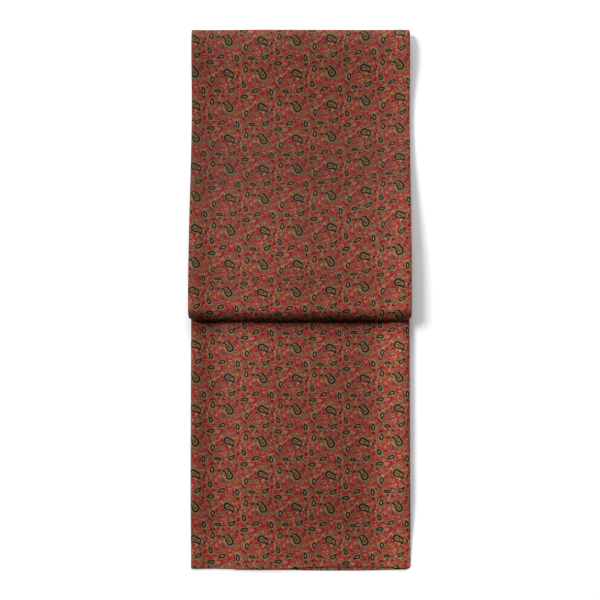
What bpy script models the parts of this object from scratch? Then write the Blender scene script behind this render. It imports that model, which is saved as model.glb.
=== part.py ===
# Silk neck scarf, folded and laid flat.
# One printed panel is halved along its length, halved across, and pleated once.
# X runs across the folded scarf, Y from its open ends to its top fold, Z up from the surface.

from collections import namedtuple
from math import cos, hypot, radians, sin

import bmesh
import bpy
from mathutils import Vector

MM = 0.001

# Folded sizes
LENGTH = 370.4 * MM
HALF_LENGTH = LENGTH / 2
ROLL_FRONT = -14.0 * MM
WALL = 1.4 * MM
UNDER_WALL = 1.5 * MM
GAP = 0.3 * MM

# The fold at each long side
SIDE_RADIUS = 2.6 * MM
SIDE_TURNS = (90, 60, 30)
FLAT_STEPS = 18

# The upper run where it falls over the top edge
TOP_FALL_REACH = 8.0 * MM
TOP_FALL_START = 2.6 * MM
TOP_TIP = 0.7 * MM
TOP_FALL_TURNS = (12, 25, 40, 55, 72)

# The soft roll where the upper run turns under
ROLL_REACH = 10.0 * MM
ROLL_TURNS = (75, 60, 45, 30, 15, 0)
CURL_RADIUS = 3.2 * MM
CURL_FOLD_DEPTH = 2.1 * MM
CURL_TURNS = (-30, -60, -90)
TAIL_END = 3.6 * MM
ROLL_END_PULL = 1.8 * MM
ROLL_END_REACH = 7.0 * MM

# The lower run
LOWER_HEIGHT = 4.4 * MM
LOWER_STEPS = 19
UNDER_STEPS = 6
UNDER_INSET = 0.4 * MM
LOWER_END_REACH = 24.0 * MM
LOWER_END_DROP = 0.4 * MM
LOWER_END_LIFT = 0.6
LOWER_FOLD_DEPTH = 2.2 * MM
CORNER_ROUND = 1.2 * MM

# The hidden plies under the upper run
HIDDEN_TOP_TURN = 40
NOSE_GAP = 0.4 * MM
LEDGE_CLEARANCE = 0.9 * MM
STEP_SLOPE = 0.5 * MM

Crown = namedtuple("Crown", "from_top height fold_depth lift")
Reach = namedtuple("Reach", "y left right")
Swell = namedtuple("Swell", "x lift")
End = namedtuple("End", "x top_inset under_inset")
Ledge = namedtuple("Ledge", "share reach")

# Height of the upper run along its length, how deep its sides turn down,
# and how much of the cross swell it takes
CROWN = [
    Crown(8 * MM, 8.4 * MM, 2.6 * MM, 0.5),
    Crown(20 * MM, 8.0 * MM, 2.6 * MM, 0.5),
    Crown(33 * MM, 6.0 * MM, 2.3 * MM, 0.5),
    Crown(48 * MM, 4.2 * MM, 2.1 * MM, 0.5),
    Crown(65 * MM, 3.7 * MM, 2.1 * MM, 0.5),
    Crown(82 * MM, 4.7 * MM, 2.1 * MM, 0.55),
    Crown(98 * MM, 6.4 * MM, 2.3 * MM, 0.6),
    Crown(115 * MM, 8.6 * MM, 2.6 * MM, 0.7),
    Crown(131 * MM, 10.5 * MM, 3.0 * MM, 0.8),
    Crown(147 * MM, 12.0 * MM, 3.0 * MM, 0.9),
    Crown(164 * MM, 12.8 * MM, 3.0 * MM, 1.0),
    Crown(179 * MM, 13.2 * MM, 3.0 * MM, 1.0),
    Crown(189.2 * MM, 13.2 * MM, 3.0 * MM, 1.0),
]

# Half widths, to the left and to the right
UPPER_REACH = [
    Reach(-14 * MM, 75.7 * MM, 75.5 * MM),
    Reach(20 * MM, 75.6 * MM, 75.5 * MM),
    Reach(72 * MM, 75.1 * MM, 75.3 * MM),
    Reach(130 * MM, 74.5 * MM, 75.0 * MM),
    Reach(186 * MM, 74.2 * MM, 74.8 * MM),
]
LOWER_REACH = [
    Reach(-186 * MM, 75.2 * MM, 75.5 * MM),
    Reach(-170 * MM, 75.2 * MM, 75.7 * MM),
    Reach(-110 * MM, 75.1 * MM, 75.3 * MM),
    Reach(-20 * MM, 74.7 * MM, 74.9 * MM),
    Reach(2 * MM, 74.7 * MM, 74.9 * MM),
]

# Soft swells that run the whole length, as a height for each place across
SWELL = [
    Swell(-76 * MM, 0.3 * MM),
    Swell(-71 * MM, 0.4 * MM),
    Swell(-63 * MM, -1.0 * MM),
    Swell(-50 * MM, 0.0 * MM),
    Swell(-36 * MM, 1.0 * MM),
    Swell(-14 * MM, 1.6 * MM),
    Swell(10 * MM, 1.2 * MM),
    Swell(30 * MM, 0.3 * MM),
    Swell(47 * MM, -0.6 * MM),
    Swell(58 * MM, 0.2 * MM),
    Swell(69 * MM, 1.1 * MM),
    Swell(76 * MM, 0.6 * MM),
]

# How far the two open ends stop short of the full length
ENDS = [
    End(-76 * MM, 1.2 * MM, 1.0 * MM),
    End(-48 * MM, 1.2 * MM, 1.0 * MM),
    End(-44 * MM, 0.6 * MM, 0.0 * MM),
    End(-8 * MM, 0.5 * MM, 0.0 * MM),
    End(4 * MM, 2.2 * MM, 0.0 * MM),
    End(34 * MM, 2.6 * MM, 0.0 * MM),
    End(52 * MM, 2.4 * MM, 0.5 * MM),
    End(64 * MM, 1.6 * MM, 0.7 * MM),
    End(76 * MM, 0.8 * MM, 0.7 * MM),
]

# The folded plies that show along the sides of the hidden layers:
# share of the way down, and how far each one reaches out
LEDGES = [
    Ledge(0.125, 0.9 * MM),
    Ledge(0.25, 0.1 * MM),
    Ledge(0.375, 0.6 * MM),
    Ledge(0.5, 0.0 * MM),
    Ledge(0.625, 1.0 * MM),
    Ledge(0.75, 0.1 * MM),
    Ledge(0.875, 0.7 * MM),
]

# A wall's edge is rounded by one loop half way through it
EDGE_BULGE = 0.35 * WALL
OPEN_END = EDGE_BULGE - HALF_LENGTH

# One place along a run: where its outer cloth is, which way it faces,
# its half widths, how deep its sides turn in, its share of the swell and of the end pull
Station = namedtuple("Station", "y z ny nz left right fold_depth lift pull")


def value_at(rows, at, column):
    """Read a column of a table, on a smooth curve through its rows; column 0 is the key."""
    keys = [row[0] for row in rows]
    values = [row[column] for row in rows]
    at = min(max(at, keys[0]), keys[-1])
    i = 0
    while i < len(keys) - 2 and at > keys[i + 1]:
        i += 1

    def slope(k):
        low, high = max(k - 1, 0), min(k + 1, len(keys) - 1)
        return (values[high] - values[low]) / (keys[high] - keys[low])

    span = keys[i + 1] - keys[i]
    t = (at - keys[i]) / span
    return ((2 * t**3 - 3 * t**2 + 1) * values[i] + (t**3 - 2 * t**2 + t) * span * slope(i)
            + (3 * t**2 - 2 * t**3) * values[i + 1] + (t**3 - t**2) * span * slope(i + 1))


def ease(t):
    """Rise smoothly from 0 to 1."""
    t = min(max(t, 0.0), 1.0)
    return t * t * (3 - 2 * t)


def facing(points):
    """Outward directions of a path that runs from the top edge over the stack and under."""
    result = []
    for i in range(len(points)):
        before = points[max(i - 1, 0)]
        after = points[min(i + 1, len(points) - 1)]
        dy, dz = after[0] - before[0], after[1] - before[1]
        size = hypot(dy, dz)
        result.append((dz / size, -dy / size))
    return result


def upper_path():
    """Side profile of the upper run, as rows of y, z, side depth, lift and pull."""
    rows = []
    first, last = CROWN[0], CROWN[-1]
    fall_y = HALF_LENGTH - TOP_FALL_REACH
    fall_height = first.height - TOP_FALL_START
    rows.append((HALF_LENGTH, TOP_TIP, WALL, 0.0, 0.0))
    rows.append((HALF_LENGTH, TOP_FALL_START, WALL, 0.0, 0.0))
    for turn in TOP_FALL_TURNS:
        angle = radians(turn)
        share = sin(angle)
        depth = WALL + (first.fold_depth - WALL) * share
        rows.append((fall_y + TOP_FALL_REACH * cos(angle), TOP_FALL_START + fall_height * share,
                     depth, first.lift * share, 0.0))
    for row, following in zip(CROWN, CROWN[1:]):
        for from_top in (row.from_top, (row.from_top + following.from_top) / 2):
            rows.append((HALF_LENGTH - from_top, value_at(CROWN, from_top, 1),
                         value_at(CROWN, from_top, 2), value_at(CROWN, from_top, 3), 0.0))
    rows.append((HALF_LENGTH - last.from_top, last.height, last.fold_depth, last.lift, 0.0))

    belly = LOWER_HEIGHT + GAP + CURL_RADIUS
    for turn in ROLL_TURNS:
        angle = radians(turn)
        depth = CURL_FOLD_DEPTH + (last.fold_depth - CURL_FOLD_DEPTH) * sin(angle)
        rows.append((ROLL_FRONT + ROLL_REACH * (1 - cos(angle)),
                     belly + (last.height - belly) * sin(angle), depth, last.lift, cos(angle)))
    above = list(reversed(rows[:-1 - len(CURL_TURNS)]))
    for turn in CURL_TURNS:
        angle = radians(turn)
        rows.append((ROLL_FRONT + CURL_RADIUS * (1 - cos(angle)),
                     belly + CURL_RADIUS * sin(angle), CURL_FOLD_DEPTH, last.lift, 1.0))
    for y in [row[0] for row in above if row[0] < TAIL_END] + [TAIL_END]:
        pull = (TAIL_END - y) / (TAIL_END - ROLL_FRONT)
        rows.append((y, LOWER_HEIGHT + GAP, CURL_FOLD_DEPTH, last.lift, pull))
    return rows


def upper_stations():
    rows = upper_path()
    stations = []
    for (y, z, depth, lift, pull), (ny, nz) in zip(rows, facing(rows)):
        stations.append(Station(y, z, ny, nz, value_at(UPPER_REACH, y, 1),
                                value_at(UPPER_REACH, y, 2), depth, lift, pull))
    return stations


def lower_stations(steps):
    """The lower run lies level, and sinks a little towards its open end."""
    stations = []
    for step in range(steps + 1):
        y = OPEN_END + (TAIL_END - OPEN_END) * step / steps
        sunk = 1 - ease((y - OPEN_END) / LOWER_END_REACH)
        stations.append(Station(y, LOWER_HEIGHT - LOWER_END_DROP * sunk, 0.0, 1.0,
                                value_at(LOWER_REACH, y, 1), value_at(LOWER_REACH, y, 2),
                                LOWER_FOLD_DEPTH, 1 + (LOWER_END_LIFT - 1) * sunk, 0.0))
    return stations


def places_across(station, inset=0.0):
    """Places from the left side to the right: x, and how far the side fold has turned."""
    left, right = -station.left + inset, station.right - inset
    places = [(left + SIDE_RADIUS * (1 - sin(radians(turn))), -radians(turn)) for turn in SIDE_TURNS]
    start, stop = left + SIDE_RADIUS, right - SIDE_RADIUS
    places += [(start + (stop - start) * k / FLAT_STEPS, 0.0) for k in range(FLAT_STEPS + 1)]
    places += [(right - SIDE_RADIUS * (1 - sin(radians(turn))), radians(turn))
               for turn in reversed(SIDE_TURNS)]
    return places


def cloth_row(station, inside):
    """Points across a run, at a depth inside its outer cloth."""
    row = []
    for x, turn in places_across(station):
        fall = station.fold_depth * (1 - cos(turn))
        side = station.fold_depth * sin(turn)
        face = SIDE_RADIUS * cos(turn)
        size = hypot(side, face)
        out = fall + inside * face / size
        end_share = ease((abs(x) - station.left + ROLL_END_REACH) / ROLL_END_REACH)
        row.append(Vector((
            x - inside * side / size,
            station.y - station.ny * out + ROLL_END_PULL * station.pull * end_share,
            station.z - station.nz * out + station.lift * value_at(SWELL, x, 1))))
    return row


def cloth_grid(stations, inside):
    return [cloth_row(station, inside) for station in stations]


def stop_short(grid, column):
    """Shorten a run's open end, by a different amount at each place across."""
    for row in grid:
        for j, point in enumerate(row):
            share = 1 - ease((point.y - OPEN_END) / LOWER_END_REACH)
            inset = value_at(ENDS, point.x, column)
            if j in (0, len(row) - 1):
                inset += CORNER_ROUND
            point.y += inset * share
    return grid


def border_of(rows, columns):
    """Places of a grid's edge, once round."""
    return ([(0, j) for j in range(columns)]
            + [(i, columns - 1) for i in range(1, rows)]
            + [(rows - 1, j) for j in range(columns - 2, -1, -1)]
            + [(i, 0) for i in range(rows - 2, 0, -1)])


def outward_at(i, j, rows, columns):
    """Which way is out at a place of the edge."""
    x = (j == columns - 1) - (j == 0)
    y = (i == rows - 1) - (i == 0)
    return Vector((x, y, 0))


def closed_body(name, outer, inner, loop_point, loops, colour):
    """Close the space between two grids, with a number of loops round the edge between them."""
    rows, columns = len(outer), len(outer[0])
    border = border_of(rows, columns)
    mesh = bpy.data.meshes.new(name)
    bm = bmesh.new()
    grids = [[[bm.verts.new(point) for point in row] for row in grid] for grid in (outer, inner)]
    rings = [[grids[0][i][j] for i, j in border]]
    for k in range(loops):
        rings.append([bm.verts.new(loop_point(k, i, j)) for i, j in border])
    rings.append([grids[1][i][j] for i, j in border])
    for i in range(rows - 1):
        for j in range(columns - 1):
            corners = ((i, j), (i, j + 1), (i + 1, j + 1), (i + 1, j))
            bm.faces.new([grids[0][a][b] for a, b in corners])
            bm.faces.new([grids[1][a][b] for a, b in reversed(corners)])
    for ring, following in zip(rings, rings[1:]):
        for k in range(len(ring)):
            after = (k + 1) % len(ring)
            bm.faces.new((ring[k], following[k], following[after], ring[after]))
    if bm.calc_volume(signed=True) < 0:
        bmesh.ops.reverse_faces(bm, faces=bm.faces)
    bm.to_mesh(mesh)
    bm.free()
    mesh.shade_smooth()
    mesh.set_sharp_from_angle(angle=radians(40))
    mesh.materials.append(silk(name, colour))
    scarf.objects.link(bpy.data.objects.new(name, mesh))


def silk(name, colour):
    material = bpy.data.materials.new(name)
    material.use_nodes = True
    shader = material.node_tree.nodes["Principled BSDF"]
    shader.inputs["Base Color"].default_value = (*colour, 1)
    shader.inputs["Roughness"].default_value = 0.45
    shader.inputs["Metallic"].default_value = 0.0
    return material


def cloth_wall(name, outer, inner, colour):
    """A wall of cloth with a rounded edge."""
    rows, columns = len(outer), len(outer[0])

    def rounded(k, i, j):
        a, b = min(max(i, 1), rows - 2), min(max(j, 1), columns - 2)
        middle = (outer[i][j] + inner[i][j]) / 2
        inside = (outer[a][b] + inner[a][b]) / 2
        return middle + (middle - inside).normalized() * EDGE_BULGE

    closed_body(name, outer, inner, rounded, 1, colour)


def make_upper_run():
    stations = upper_stations()
    cloth_wall("upper_run", cloth_grid(stations, 0.0), cloth_grid(stations, WALL),
               (0.28, 0.055, 0.04))


def make_lower_run_top():
    stations = lower_stations(LOWER_STEPS)
    cloth_wall("lower_run_top", stop_short(cloth_grid(stations, 0.0), 1),
               stop_short(cloth_grid(stations, WALL), 1), (0.28, 0.055, 0.04))


def make_lower_run_under():
    """The under half of the lower run is flat on the surface."""
    outer, inner = [], []
    for station in lower_stations(UNDER_STEPS):
        xs = [x for x, turn in places_across(station, UNDER_INSET)]
        outer.append([Vector((x, station.y, UNDER_WALL)) for x in xs])
        inner.append([Vector((x, station.y, 0.0)) for x in xs])
    cloth_wall("lower_run_under", stop_short(outer, 2), stop_short(inner, 2),
               (0.24, 0.05, 0.035))


def make_hidden_layers():
    """One rounded solid: the plies inside the roll, and the stack under the upper run."""
    stations = upper_stations()
    top_fall = 2 + TOP_FALL_TURNS.index(HIDDEN_TOP_TURN)
    crest = 2 + len(TOP_FALL_TURNS) + 2 * (len(CROWN) - 1)
    belly = crest + len(ROLL_TURNS)
    over = cloth_grid(stations[top_fall:belly], WALL + GAP)
    bottom_of_nose = cloth_grid(stations[belly + 1:-1], WALL + NOSE_GAP)
    step_y = TAIL_END + EDGE_BULGE + GAP
    for point in bottom_of_nose[-1]:
        point.y = step_y
    bottom = list(bottom_of_nose)
    for row in over[-1 - len(bottom)::-1]:
        bottom.append([Vector((point.x, max(point.y, step_y + STEP_SLOPE), 0.0)) for point in row])
    bottom.reverse()
    rows, columns = len(over), len(over[0])
    step_row = rows - len(bottom_of_nose)

    def layered(k, i, j):
        share, reach = LEDGES[k]
        point = over[i][j].lerp(bottom[i][j], share)
        if i >= step_row - 1 or (point - over[i][j]).length < LEDGE_CLEARANCE:
            return point
        return point + outward_at(rows - 1 - i, j, rows, columns) * reach

    closed_body("hidden_layers", over, bottom, layered, len(LEDGES), (0.2, 0.045, 0.03))


for old in list(bpy.data.objects):
    bpy.data.objects.remove(old)
scarf = bpy.data.collections.new("silk_neck_scarf")
bpy.context.scene.collection.children.link(scarf)
make_upper_run()
make_lower_run_top()
make_lower_run_under()
make_hidden_layers()
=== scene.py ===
# Looks of the folded silk neck scarf: its cloth, its print, and the studio round it.
# X runs across the folded scarf, Y from its open ends to its top fold, Z up from the surface.

from collections import namedtuple
from math import cos, hypot, pi, radians, sin

import bpy
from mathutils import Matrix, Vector, noise


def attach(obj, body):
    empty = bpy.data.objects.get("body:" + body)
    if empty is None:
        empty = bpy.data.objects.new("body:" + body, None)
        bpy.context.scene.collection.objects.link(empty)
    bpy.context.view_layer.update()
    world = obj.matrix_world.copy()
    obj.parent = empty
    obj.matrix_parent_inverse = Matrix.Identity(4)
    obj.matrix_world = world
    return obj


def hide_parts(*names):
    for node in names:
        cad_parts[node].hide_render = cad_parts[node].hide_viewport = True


MM = 0.001

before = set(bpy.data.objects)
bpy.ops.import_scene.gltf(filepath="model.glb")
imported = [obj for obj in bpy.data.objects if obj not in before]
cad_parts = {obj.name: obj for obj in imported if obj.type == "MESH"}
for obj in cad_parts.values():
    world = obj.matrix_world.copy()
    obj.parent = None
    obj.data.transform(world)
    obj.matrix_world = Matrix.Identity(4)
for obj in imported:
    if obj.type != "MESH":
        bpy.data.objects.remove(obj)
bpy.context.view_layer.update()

# Sizes of the folded scarf
LENGTH = 370.4 * MM
HALF_LENGTH = LENGTH / 2
ROLL_FRONT = -14.0 * MM
GAP = 0.3 * MM
SIDE_RADIUS = 2.6 * MM
TOP_FALL_REACH = 8.0 * MM
TOP_FALL_POWER = 2.8
ROLL_REACH = 8.6 * MM
ROLL_POWER = 1.62
CURL_RADIUS = 0.8 * MM
TAIL_END = 3.6 * MM
ROLL_END_PULL = 1.8 * MM
ROLL_END_REACH = 7.0 * MM
LOWER_HEIGHT = 4.4 * MM
UNDER_HEIGHT = 1.5 * MM
UNDER_INSET = 0.4 * MM
LOWER_END_REACH = 60.0 * MM
LOWER_END_LIFT = 0.12

Crown = namedtuple("Crown", "from_top height lift")
Reach = namedtuple("Reach", "y left right")
Swell = namedtuple("Swell", "x lift")
End = namedtuple("End", "x top_inset under_inset")

# Height of the upper run along its length, and how much of the cross swell it takes
CROWN = [
    Crown(0 * MM, 8.4 * MM, 0.5),
    Crown(8 * MM, 8.4 * MM, 0.5),
    Crown(20 * MM, 8.0 * MM, 0.5),
    Crown(33 * MM, 6.0 * MM, 0.5),
    Crown(48 * MM, 4.2 * MM, 0.5),
    Crown(65 * MM, 3.7 * MM, 0.5),
    Crown(82 * MM, 4.7 * MM, 0.55),
    Crown(98 * MM, 6.4 * MM, 0.6),
    Crown(115 * MM, 8.6 * MM, 0.7),
    Crown(131 * MM, 10.5 * MM, 0.8),
    Crown(147 * MM, 12.0 * MM, 0.9),
    Crown(164 * MM, 12.8 * MM, 1.0),
    Crown(179 * MM, 13.2 * MM, 1.0),
    Crown(189.2 * MM, 13.2 * MM, 1.0),
]
# Half widths, to the left and to the right
UPPER_REACH = [
    Reach(-14 * MM, 75.7 * MM, 75.5 * MM),
    Reach(20 * MM, 75.5 * MM, 75.5 * MM),
    Reach(72 * MM, 74.8 * MM, 75.3 * MM),
    Reach(130 * MM, 74.1 * MM, 75.0 * MM),
    Reach(186 * MM, 73.8 * MM, 74.8 * MM),
]
LOWER_REACH = [
    Reach(-186 * MM, 74.9 * MM, 75.5 * MM),
    Reach(-170 * MM, 74.8 * MM, 75.7 * MM),
    Reach(-110 * MM, 74.7 * MM, 75.3 * MM),
    Reach(-20 * MM, 74.4 * MM, 74.9 * MM),
    Reach(2 * MM, 74.4 * MM, 74.9 * MM),
]
# Soft swells that run the whole length, as a height for each place across
UPPER_SWELL = [
    Swell(-76 * MM, 0.1 * MM),
    Swell(-72 * MM, 0.5 * MM),
    Swell(-66 * MM, -0.6 * MM),
    Swell(-60 * MM, -1.1 * MM),
    Swell(-50 * MM, -0.2 * MM),
    Swell(-36 * MM, 1.2 * MM),
    Swell(-20 * MM, 1.8 * MM),
    Swell(-5 * MM, 1.7 * MM),
    Swell(8 * MM, 1.0 * MM),
    Swell(20 * MM, 0.6 * MM),
    Swell(32 * MM, -0.3 * MM),
    Swell(46 * MM, -0.8 * MM),
    Swell(56 * MM, 0.0 * MM),
    Swell(66 * MM, 1.3 * MM),
    Swell(71 * MM, 1.6 * MM),
    Swell(76 * MM, 0.8 * MM),
]
LOWER_SWELL = [
    Swell(-76 * MM, 0.3 * MM),
    Swell(-73 * MM, 0.6 * MM),
    Swell(-67 * MM, -0.5 * MM),
    Swell(-61 * MM, -1.3 * MM),
    Swell(-56 * MM, -1.0 * MM),
    Swell(-48 * MM, 0.2 * MM),
    Swell(-36 * MM, 1.5 * MM),
    Swell(-24 * MM, 1.9 * MM),
    Swell(-8 * MM, 1.8 * MM),
    Swell(8 * MM, 1.3 * MM),
    Swell(20 * MM, 0.8 * MM),
    Swell(32 * MM, -0.3 * MM),
    Swell(45 * MM, -1.3 * MM),
    Swell(51 * MM, -1.3 * MM),
    Swell(58 * MM, 0.1 * MM),
    Swell(65 * MM, 1.8 * MM),
    Swell(70.5 * MM, 2.4 * MM),
    Swell(76 * MM, 1.2 * MM),
]
# Painted light and shade, multiplied into the cloth's colour as soft bands: for each run one table goes
# across the cloth and one along it. They paint lighter bands where light falls, as near the right fold,
# and darker ones where shade falls, as at the front of the roll
UPPER_PAINTED_SHADING_ACROSS = [
    (-76 * MM, 0.97), (-62 * MM, 0.86), (-45 * MM, 0.97), (-29 * MM, 0.99), (5 * MM, 0.935),
    (23 * MM, 0.98), (45 * MM, 1.0), (56 * MM, 1.06), (70 * MM, 1.28), (76 * MM, 1.34),
]
UPPER_PAINTED_SHADING_ALONG = [
    (-14 * MM, 0.68), (-8 * MM, 1.13), (3 * MM, 1.05), (13 * MM, 0.97), (27 * MM, 1.05),
    (50 * MM, 0.93), (66 * MM, 0.91), (88 * MM, 0.77), (125 * MM, 0.94), (146 * MM, 1.04),
    (156 * MM, 1.07), (168 * MM, 0.95), (186 * MM, 0.91),
]
LOWER_PAINTED_SHADING_ACROSS = [
    (-76 * MM, 1.02), (-71 * MM, 0.98), (-65 * MM, 0.83), (-45 * MM, 1.09), (-35 * MM, 1.10),
    (-10 * MM, 0.95), (23 * MM, 0.96), (37 * MM, 0.91), (50 * MM, 1.02), (64 * MM, 1.30),
    (70 * MM, 1.34), (76 * MM, 1.30),
]
LOWER_PAINTED_SHADING_ALONG = [
    (-186 * MM, 1.16), (-165 * MM, 1.18), (-146 * MM, 1.05), (-60 * MM, 1.03), (-22 * MM, 1.10),
    (-16 * MM, 0.88), (4 * MM, 0.84),
]
# How far the painted bands of light and shade waver across, and how much they drift at random
PAINTED_SHADING_WAVER = 2.5 * MM
PAINTED_SHADING_DRIFT = 0.05

# How far the two open ends stop short of the full length
ENDS = [
    End(-76 * MM, 1.4 * MM, 1.2 * MM),
    End(-48 * MM, 1.4 * MM, 1.2 * MM),
    End(-44 * MM, 1.0 * MM, 0.5 * MM),
    End(-8 * MM, 1.1 * MM, 0.4 * MM),
    End(4 * MM, 2.2 * MM, 0.1 * MM),
    End(34 * MM, 2.6 * MM, 0.0 * MM),
    End(52 * MM, 2.4 * MM, 0.2 * MM),
    End(64 * MM, 1.8 * MM, 0.5 * MM),
    End(71.5 * MM, 1.4 * MM, 0.7 * MM),
    End(73.8 * MM, 1.8 * MM, 1.1 * MM),
    End(76 * MM, 3.6 * MM, 3.2 * MM),
]

# The cloth
PLY = 0.26 * MM
HEM_WIDTH = 1.5 * MM
HEM_THICKNESS = 0.85 * MM
HEM_ROWS = 12
PRESSED_SHARE = 0.45
HEM_SHARE = 0.6
FLAT_STEPS = 76
FOLD_STEPS = 9
UNDER_STEPS = 12
ROW_STEP = 2.0 * MM
INNER_ROW_STEP = 2 * ROW_STEP
TINY = 1e-6

# Places near a free edge, in millimetres from it
EDGE_PLACES = [0.12, 0.3, 0.55, 0.85, 1.2, 1.45, 1.8, 2.6, 3.8]
EDGE_REACH = EDGE_PLACES[-1] * MM
EDGE_DROP = 0.9 * MM

# Parts of the bake map: the cloth's two faces, a strip for each end, and the share of unseen faces
BAKE_BODY = 0.968
BAKE_FIRST_END = (0.972, 0.984)
BAKE_LAST_END = (0.988, 1.0)
BAKE_UNSEEN = 0.22

# One place along a doubled ply: its upper face and which way that faces, its half widths, how high
# it is, its share of the swell above and below and of the end pull, and the table of its swell
Station = namedtuple("Station", "y z ny nz left right height lift under_lift pull swell")

# One place across a doubled ply: x, how deep it lies, which way is out, half its thickness,
# and how far it is from the upper free edge along the cloth
Place = namedtuple("Place", "x depth nx nd half along")


def value_at(rows, at, column):
    """Read a column of a table, on a smooth curve through its rows; column 0 is the key."""
    keys = [row[0] for row in rows]
    values = [row[column] for row in rows]
    at = min(max(at, keys[0]), keys[-1])
    i = 0
    while i < len(keys) - 2 and at > keys[i + 1]:
        i += 1

    def slope(k):
        low, high = max(k - 1, 0), min(k + 1, len(keys) - 1)
        return (values[high] - values[low]) / (keys[high] - keys[low])

    span = keys[i + 1] - keys[i]
    t = (at - keys[i]) / span
    return ((2 * t**3 - 3 * t**2 + 1) * values[i] + (t**3 - 2 * t**2 + t) * span * slope(i)
            + (3 * t**2 - 2 * t**3) * values[i + 1] + (t**3 - t**2) * span * slope(i + 1))


def ease(t):
    """Rise smoothly from 0 to 1."""
    t = min(max(t, 0.0), 1.0)
    return t * t * (3 - 2 * t)


def facing(points):
    """Outward directions of a path that runs from the top edge over the stack and under."""
    result = []
    for i in range(len(points)):
        before = points[max(i - 1, 0)]
        after = points[min(i + 1, len(points) - 1)]
        dy, dz = after[0] - before[0], after[1] - before[1]
        size = hypot(dy, dz)
        result.append((dz / size, -dy / size))
    return result


def half_ply(height):
    """Half the thickness of a ply; where a doubled ply is pressed flat its plies are thinner."""
    return min(PLY, PRESSED_SHARE * height) / 2


def hem_half(distance, height):
    """Half the cloth's thickness at a distance from a free edge, where its hem is rolled."""
    middle = HEM_WIDTH / 2
    off = abs(distance - middle) / middle
    bead = (1 - off * off) ** 0.5 if off < 1 else 0.0
    flat = half_ply(height)
    return flat + max(min(HEM_THICKNESS, HEM_SHARE * height) / 2 - flat, 0.0) * bead


def places_across(station, under_inset, flat_steps):
    """Places from the upper free edge on the left, round the long fold, to the lower free edge."""
    height, left, right = station.height, -station.left, station.right
    half = half_ply(height)
    reach = min(SIDE_RADIUS, 0.9 * height + 0.5 * MM)
    fold_x = right - reach
    drop = min(0.35 * height, EDGE_DROP)
    xs = [left + e * MM for e in EDGE_PLACES]
    start = xs[-1]
    xs += [start + (fold_x - start) * (k + 1) / flat_steps for k in range(flat_steps)]
    points = []
    for x in xs:
        fall = drop * (1 - ease((x - left) / SIDE_RADIUS)) ** 1.5
        points.append((x, half + fall, hem_half(x - left, height)))
    deep = height / 2 - half
    for k in range(1, FOLD_STEPS):
        angle = pi * k / FOLD_STEPS
        points.append((fold_x + (reach - half) * sin(angle), height / 2 - deep * cos(angle), half))
    low = left + under_inset
    for k in range(UNDER_STEPS + 1):
        x = fold_x + (low + EDGE_REACH - fold_x) * k / UNDER_STEPS
        points.append((x, height - half, half))
    for e in reversed(EDGE_PLACES[:-1]):
        x = low + e * MM
        hem = hem_half(x - low, height)
        points.append((x, height - hem, hem))
    places, along = [], 0.0
    for i, (x, depth, half) in enumerate(points):
        before, after = points[max(i - 1, 0)], points[min(i + 1, len(points) - 1)]
        dx, dd = after[0] - before[0], after[1] - before[1]
        size = hypot(dx, dd)
        if i:
            along += hypot(x - points[i - 1][0], depth - points[i - 1][1])
        places.append(Place(x, depth, dd / size, -dx / size, half, along))
    return places


def ply_point(station, x, depth):
    """A point of a doubled ply, at a depth under its upper face."""
    under = min(max(depth / station.height, 0.0), 1.0)
    lift = station.lift + (station.under_lift - station.lift) * under
    end_share = ease((abs(x) - station.left + ROLL_END_REACH) / ROLL_END_REACH)
    return Vector((x,
                   station.y - station.ny * depth + ROLL_END_PULL * station.pull * end_share,
                   max(station.z - station.nz * depth + lift * value_at(station.swell, x, 1), 0.0)))


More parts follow.
